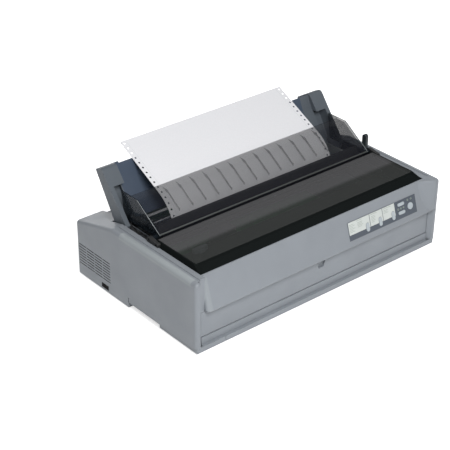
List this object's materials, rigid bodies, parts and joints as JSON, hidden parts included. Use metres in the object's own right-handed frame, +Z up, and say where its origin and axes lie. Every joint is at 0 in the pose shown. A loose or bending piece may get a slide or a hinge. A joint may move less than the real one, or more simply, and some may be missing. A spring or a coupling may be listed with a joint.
{
  "type": "dot matrix printer",
  "caption": "Wide-carriage impact printer with hinged covers, tilting paper guide, tractor feed, print carriage and ribbon, loaded with a sprocket-holed sheet.",
  "frame": {"origin": "on the desk, under the centre of the bounding box, which includes the platen knob at the right end", "axes": "+X towards the printer's right as its user sees it, +Y from the front panel to the back, +Z up"},
  "size_m": [0.639, 0.3669, 0.2557],
  "materials": {
    "case_grey": "fine-grained moulded plastic, cool mid grey",
    "smoked": "smoked near-black see-through plastic",
    "clear_tint": "see-through plastic with a grey-blue tint",
    "guide_grey": "moulded plastic, darker blue-grey",
    "paper": "uncoated white continuous paper",
    "panel_white": "off-white printed plastic panel",
    "lamp_green": "clear green indicator lens",
    "board_green": "glass-fibre circuit board with dark components",
    "black_rubber": "ground smooth platen rubber",
    "bright_steel": "ground bright steel",
    "gear_dark": "dark nylon-like gear plastic",
    "pinion_brass": "machined brass",
    "motor_steel": "dark painted steel can",
    "black_plastic": "black moulded plastic",
    "head_alloy": "cast grey alloy with cooling fins",
    "zinc_sheet": "zinc-plated steel sheet",
    "belt_rubber": "black toothed-belt rubber",
    "ribbon_fabric": "inked black woven ribbon",
    "knob_grey": "mid grey plastic knob",
    "navy_plastic": "very dark blue-black plastic",
    "lever_grey": "dark grey plastic lever",
    "foot_rubber": "soft black rubber",
    "screw_steel": "bright plated screw",
    "key_grey": "pale grey key plastic"
  },
  "bodies": {
    "machine": {"lower_case": "case_grey", "upper_case": "case_grey", "paper_page": "paper", "control_label": "panel_white", "indicator_lights": "lamp_green", "panel_board": "board_green", "feed_motor": "motor_steel", "tractor_rod": "bright_steel", "carriage_rod": "bright_steel", "guide_rail": "zinc_sheet", "drive_belt": "belt_rubber", "carriage_motor": "motor_steel", "ribbon_cartridge": "black_plastic", "ribbon": "ribbon_fabric", "tension_unit": "navy_plastic", "frame_left": "zinc_sheet", "frame_right": "zinc_sheet", "rear_beam": "zinc_sheet", "main_board": "board_green", "power_supply": "motor_steel", "power_switch": "black_plastic", "ac_inlet": "black_plastic", "interface_connector": "black_plastic", "feet": "foot_rubber", "case_screws": "screw_steel"},
    "front_flap": {"front_cover": "case_grey"},
    "front_lid": {"printer_cover": "smoked"},
    "hood": {"separator_cover": "clear_tint", "tear_bar": "bright_steel"},
    "guide": {"paper_guide": "guide_grey"},
    "platen": {"platen_roller": "black_rubber", "platen_shaft": "bright_steel", "platen_gear": "gear_dark", "platen_knob": "case_grey"},
    "pinion": {"feed_pinion": "pinion_brass"},
    "idler": {"feed_idler_gear": "gear_dark"},
    "tractor_drive": {"tractor_drive_shaft": "bright_steel", "tractor_gear": "gear_dark"},
    "tractor_unit_left": {"tractor_left": "black_plastic", "pin_belt_left": "belt_rubber"},
    "tractor_unit_right": {"tractor_right": "black_plastic", "pin_belt_right": "belt_rubber"},
    "clamp_lid_left": {"tractor_lid_left": "black_plastic"},
    "clamp_lid_right": {"tractor_lid_right": "black_plastic"},
    "lock_left": {"tractor_lock_left": "lever_grey"},
    "lock_right": {"tractor_lock_right": "lever_grey"},
    "head_carriage": {"carriage": "black_plastic", "print_head": "head_alloy"},
    "belt_pulley_left": {"drive_pulley": "gear_dark"},
    "belt_pulley_right": {"idler_pulley": "gear_dark"},
    "ribbon_winder": {"ribbon_knob": "knob_grey"},
    "rocker": {"power_rocker": "black_plastic"},
    "release_arm": {"paper_release_lever": "lever_grey"},
    "thickness_arm": {"paper_thickness_lever": "lever_grey"},
    "pitch_key_cap": {"pitch_key": "key_grey"},
    "font_key_cap": {"font_key": "key_grey"},
    "tear_off_key_cap": {"tear_off_key": "key_grey"},
    "load_eject_key_cap": {"load_eject_key": "key_grey"},
    "line_feed_key_cap": {"line_feed_key": "key_grey"},
    "pause_key_cap": {"pause_key": "key_grey"}
  },
  "joints": [
    {"name": "front_cover_hinge", "type": "hinge", "parent": "machine", "child": "front_flap", "pos_m": [-0.009, -0.168, 0.033], "axis": [1, 0, 0], "range_deg": [0, 75]},
    {"name": "printer_cover_hinge", "type": "hinge", "parent": "machine", "child": "front_lid", "pos_m": [-0.009, -0.035, 0.1525], "axis": [-1, 0, 0], "range_deg": [0, 55]},
    {"name": "separator_cover_hinge", "type": "hinge", "parent": "machine", "child": "hood", "pos_m": [-0.009, -0.015, 0.156], "axis": [1, 0, 0], "range_deg": [0, 50]},
    {"name": "paper_guide_hinge", "type": "hinge", "parent": "machine", "child": "guide", "pos_m": [-0.009, 0.08, 0.128], "axis": [-1, 0, 0], "range_deg": [0, 15]},
    {"name": "platen_spin", "type": "hinge", "parent": "machine", "child": "platen", "pos_m": [-0.009, 0.026, 0.117], "axis": [1, 0, 0], "continuous": true},
    {"name": "feed_pinion_spin", "type": "hinge", "parent": "machine", "child": "pinion", "pos_m": [-0.009, 0.06495, 0.07888], "axis": [1, 0, 0], "continuous": true},
    {"name": "feed_idler_spin", "type": "hinge", "parent": "machine", "child": "idler", "pos_m": [-0.009, 0.07794, 0.11459], "axis": [1, 0, 0], "continuous": true},
    {"name": "tractor_drive_spin", "type": "hinge", "parent": "machine", "child": "tractor_drive", "pos_m": [-0.009, 0.128, 0.1005], "axis": [1, 0, 0], "continuous": true},
    {"name": "tractor_left_slide", "type": "slide", "parent": "machine", "child": "tractor_unit_left", "axis": [1, 0, 0], "range_m": [-0.02, 0.06]},
    {"name": "tractor_right_slide", "type": "slide", "parent": "machine", "child": "tractor_unit_right", "axis": [1, 0, 0], "range_m": [-0.16, 0.02]},
    {"name": "tractor_lid_left_hinge", "type": "hinge", "parent": "tractor_unit_left", "child": "clamp_lid_left", "pos_m": [-0.22595, 0.114, 0.1138], "axis": [0, -1, 0], "range_deg": [0, 90]},
    {"name": "tractor_lock_left_hinge", "type": "hinge", "parent": "tractor_unit_left", "child": "lock_left", "pos_m": [-0.21045, 0.1, 0.1005], "axis": [1, 0, 0], "range_deg": [0, 50]},
    {"name": "tractor_lid_right_hinge", "type": "hinge", "parent": "tractor_unit_right", "child": "clamp_lid_right", "pos_m": [0.19875, 0.114, 0.1138], "axis": [0, 1, 0], "range_deg": [0, 90]},
    {"name": "tractor_lock_right_hinge", "type": "hinge", "parent": "tractor_unit_right", "child": "lock_right", "pos_m": [0.18325, 0.1, 0.1005], "axis": [1, 0, 0], "range_deg": [0, 50]},
    {"name": "carriage_slide", "type": "slide", "parent": "machine", "child": "head_carriage", "axis": [1, 0, 0], "range_m": [-0.08, 0.32]},
    {"name": "drive_pulley_spin", "type": "hinge", "parent": "machine", "child": "belt_pulley_left", "pos_m": [-0.249, -0.05, 0.05], "axis": [0, 1, 0], "continuous": true},
    {"name": "idler_pulley_spin", "type": "hinge", "parent": "machine", "child": "belt_pulley_right", "pos_m": [0.231, -0.05, 0.05], "axis": [0, 1, 0], "continuous": true},
    {"name": "ribbon_knob_spin", "type": "hinge", "parent": "machine", "child": "ribbon_winder", "pos_m": [-0.224, -0.076, 0.134], "axis": [0, 0, 1], "continuous": true},
    {"name": "power_rocker_tilt", "type": "hinge", "parent": "machine", "child": "rocker", "pos_m": [-0.3134, 0.093, 0.013], "axis": [0, 0, -1], "range_deg": [0, 14]},
    {"name": "release_lever_hinge", "type": "hinge", "parent": "machine", "child": "release_arm", "pos_m": [0.2805, 0.008, 0.1], "axis": [1, 0, 0], "range_deg": [0, 16]},
    {"name": "thickness_lever_hinge", "type": "hinge", "parent": "machine", "child": "thickness_arm", "pos_m": [-0.271, -0.058, 0.118], "axis": [-1, 0, 0], "range_deg": [0, 20]},
    {"name": "pitch_key_press", "type": "slide", "parent": "machine", "child": "pitch_key_cap", "axis": [0, 0.9527, -0.3038], "range_m": [0, 0.0012], "stiffness_N_per_m": 300, "springref_m": -0.002},
    {"name": "font_key_press", "type": "slide", "parent": "machine", "child": "font_key_cap", "axis": [0, 0.9527, -0.3038], "range_m": [0, 0.0012], "stiffness_N_per_m": 300, "springref_m": -0.002},
    {"name": "tear_off_key_press", "type": "slide", "parent": "machine", "child": "tear_off_key_cap", "axis": [0, 0.9527, -0.3038], "range_m": [0, 0.0012], "stiffness_N_per_m": 300, "springref_m": -0.002},
    {"name": "load_eject_key_press", "type": "slide", "parent": "machine", "child": "load_eject_key_cap", "axis": [0, 0.9527, -0.3038], "range_m": [0, 0.0012], "stiffness_N_per_m": 300, "springref_m": -0.002},
    {"name": "line_feed_key_press", "type": "slide", "parent": "machine", "child": "line_feed_key_cap", "axis": [0, 0.9527, -0.3038], "range_m": [0, 0.0012], "stiffness_N_per_m": 300, "springref_m": -0.002},
    {"name": "pause_key_press", "type": "slide", "parent": "machine", "child": "pause_key_cap", "axis": [0, 0.9527, -0.3038], "range_m": [0, 0.0012], "stiffness_N_per_m": 300, "springref_m": -0.002}
  ],
  "couplings": [
    {"joint": "feed_idler_spin", "follows": "platen_spin", "ratio": -0.625},
    {"joint": "feed_pinion_spin", "follows": "platen_spin", "ratio": 3.3333},
    {"joint": "tractor_drive_spin", "follows": "platen_spin", "ratio": 1},
    {"joint": "drive_pulley_spin", "follows": "carriage_slide", "rad_per_m": 101.01},
    {"joint": "idler_pulley_spin", "follows": "carriage_slide", "rad_per_m": 101.01}
  ]
}
